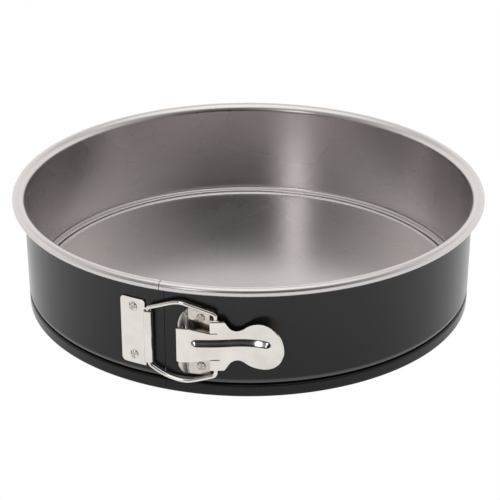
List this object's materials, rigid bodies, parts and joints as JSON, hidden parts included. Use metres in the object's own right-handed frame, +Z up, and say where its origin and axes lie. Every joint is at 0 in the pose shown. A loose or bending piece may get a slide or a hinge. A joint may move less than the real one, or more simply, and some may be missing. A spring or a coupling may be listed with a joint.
{
  "type": "springform pan",
  "caption": "Round springform baking pan: a split ring with rolled rim and over-centre side latch, and a loose base plate.",
  "frame": {"origin": "centre of the pan on the plane that it rests on", "axes": "+Z up along the pan's axis, -Y towards the ring's seam, +X towards the lever's side of the latch"},
  "size_m": [0.274, 0.2746, 0.067],
  "materials": {
    "dark_coated_steel": "dark charcoal coated sheet steel, satin to glossy",
    "grey_coated_steel": "warm grey metallic non-stick coating, fine grain, semi-gloss",
    "nickel_plated_steel": "bright nickel plating on stamped steel"
  },
  "bodies": {
    "ring": {"ring_back": "dark_coated_steel"},
    "left_side": {"ring_left": "dark_coated_steel", "link_plate": "nickel_plated_steel", "link_plate_rivet_upper": "nickel_plated_steel", "link_plate_rivet_lower": "nickel_plated_steel"},
    "link": {"wire_link": "nickel_plated_steel"},
    "right_side": {"ring_right": "dark_coated_steel", "lever_bracket": "nickel_plated_steel", "bracket_rivet_upper": "nickel_plated_steel", "bracket_rivet_lower": "nickel_plated_steel"},
    "lever": {"lever": "nickel_plated_steel"},
    "base": {"base_plate": "grey_coated_steel"}
  },
  "joints": [
    {"name": "ring_left_flex", "type": "hinge", "parent": "ring", "child": "left_side", "pos_m": [-0.11865, 0.0685, 0], "axis": [0, 0, -1], "range_deg": [0, 1.78]},
    {"name": "ring_right_flex", "type": "hinge", "parent": "ring", "child": "right_side", "pos_m": [0.11865, 0.0685, 0], "axis": [0, 0, 1], "range_deg": [0, 1.78]},
    {"name": "lever_pivot", "type": "hinge", "parent": "right_side", "child": "lever", "pos_m": [0.0106, -0.13564, 0.0327], "axis": [0, 0, -1], "range_deg": [0, 115]},
    {"name": "link_swing", "type": "hinge", "parent": "left_side", "child": "link", "pos_m": [-0.00815, -0.13245, 0.0327], "axis": [0, 0, -1], "range_deg": [0, 38.26]},
    {"name": "base_lift", "type": "slide", "parent": "ring", "child": "base", "axis": [0, 0, 1], "range_m": [0, 0.08]}
  ],
  "couplings": [
    {"joint": "ring_left_flex", "follows": "lever_pivot", "ratio": 0.015443},
    {"joint": "ring_right_flex", "follows": "lever_pivot", "ratio": 0.015443},
    {"joint": "link_swing", "follows": "lever_pivot", "ratio": 0.33271}
  ]
}
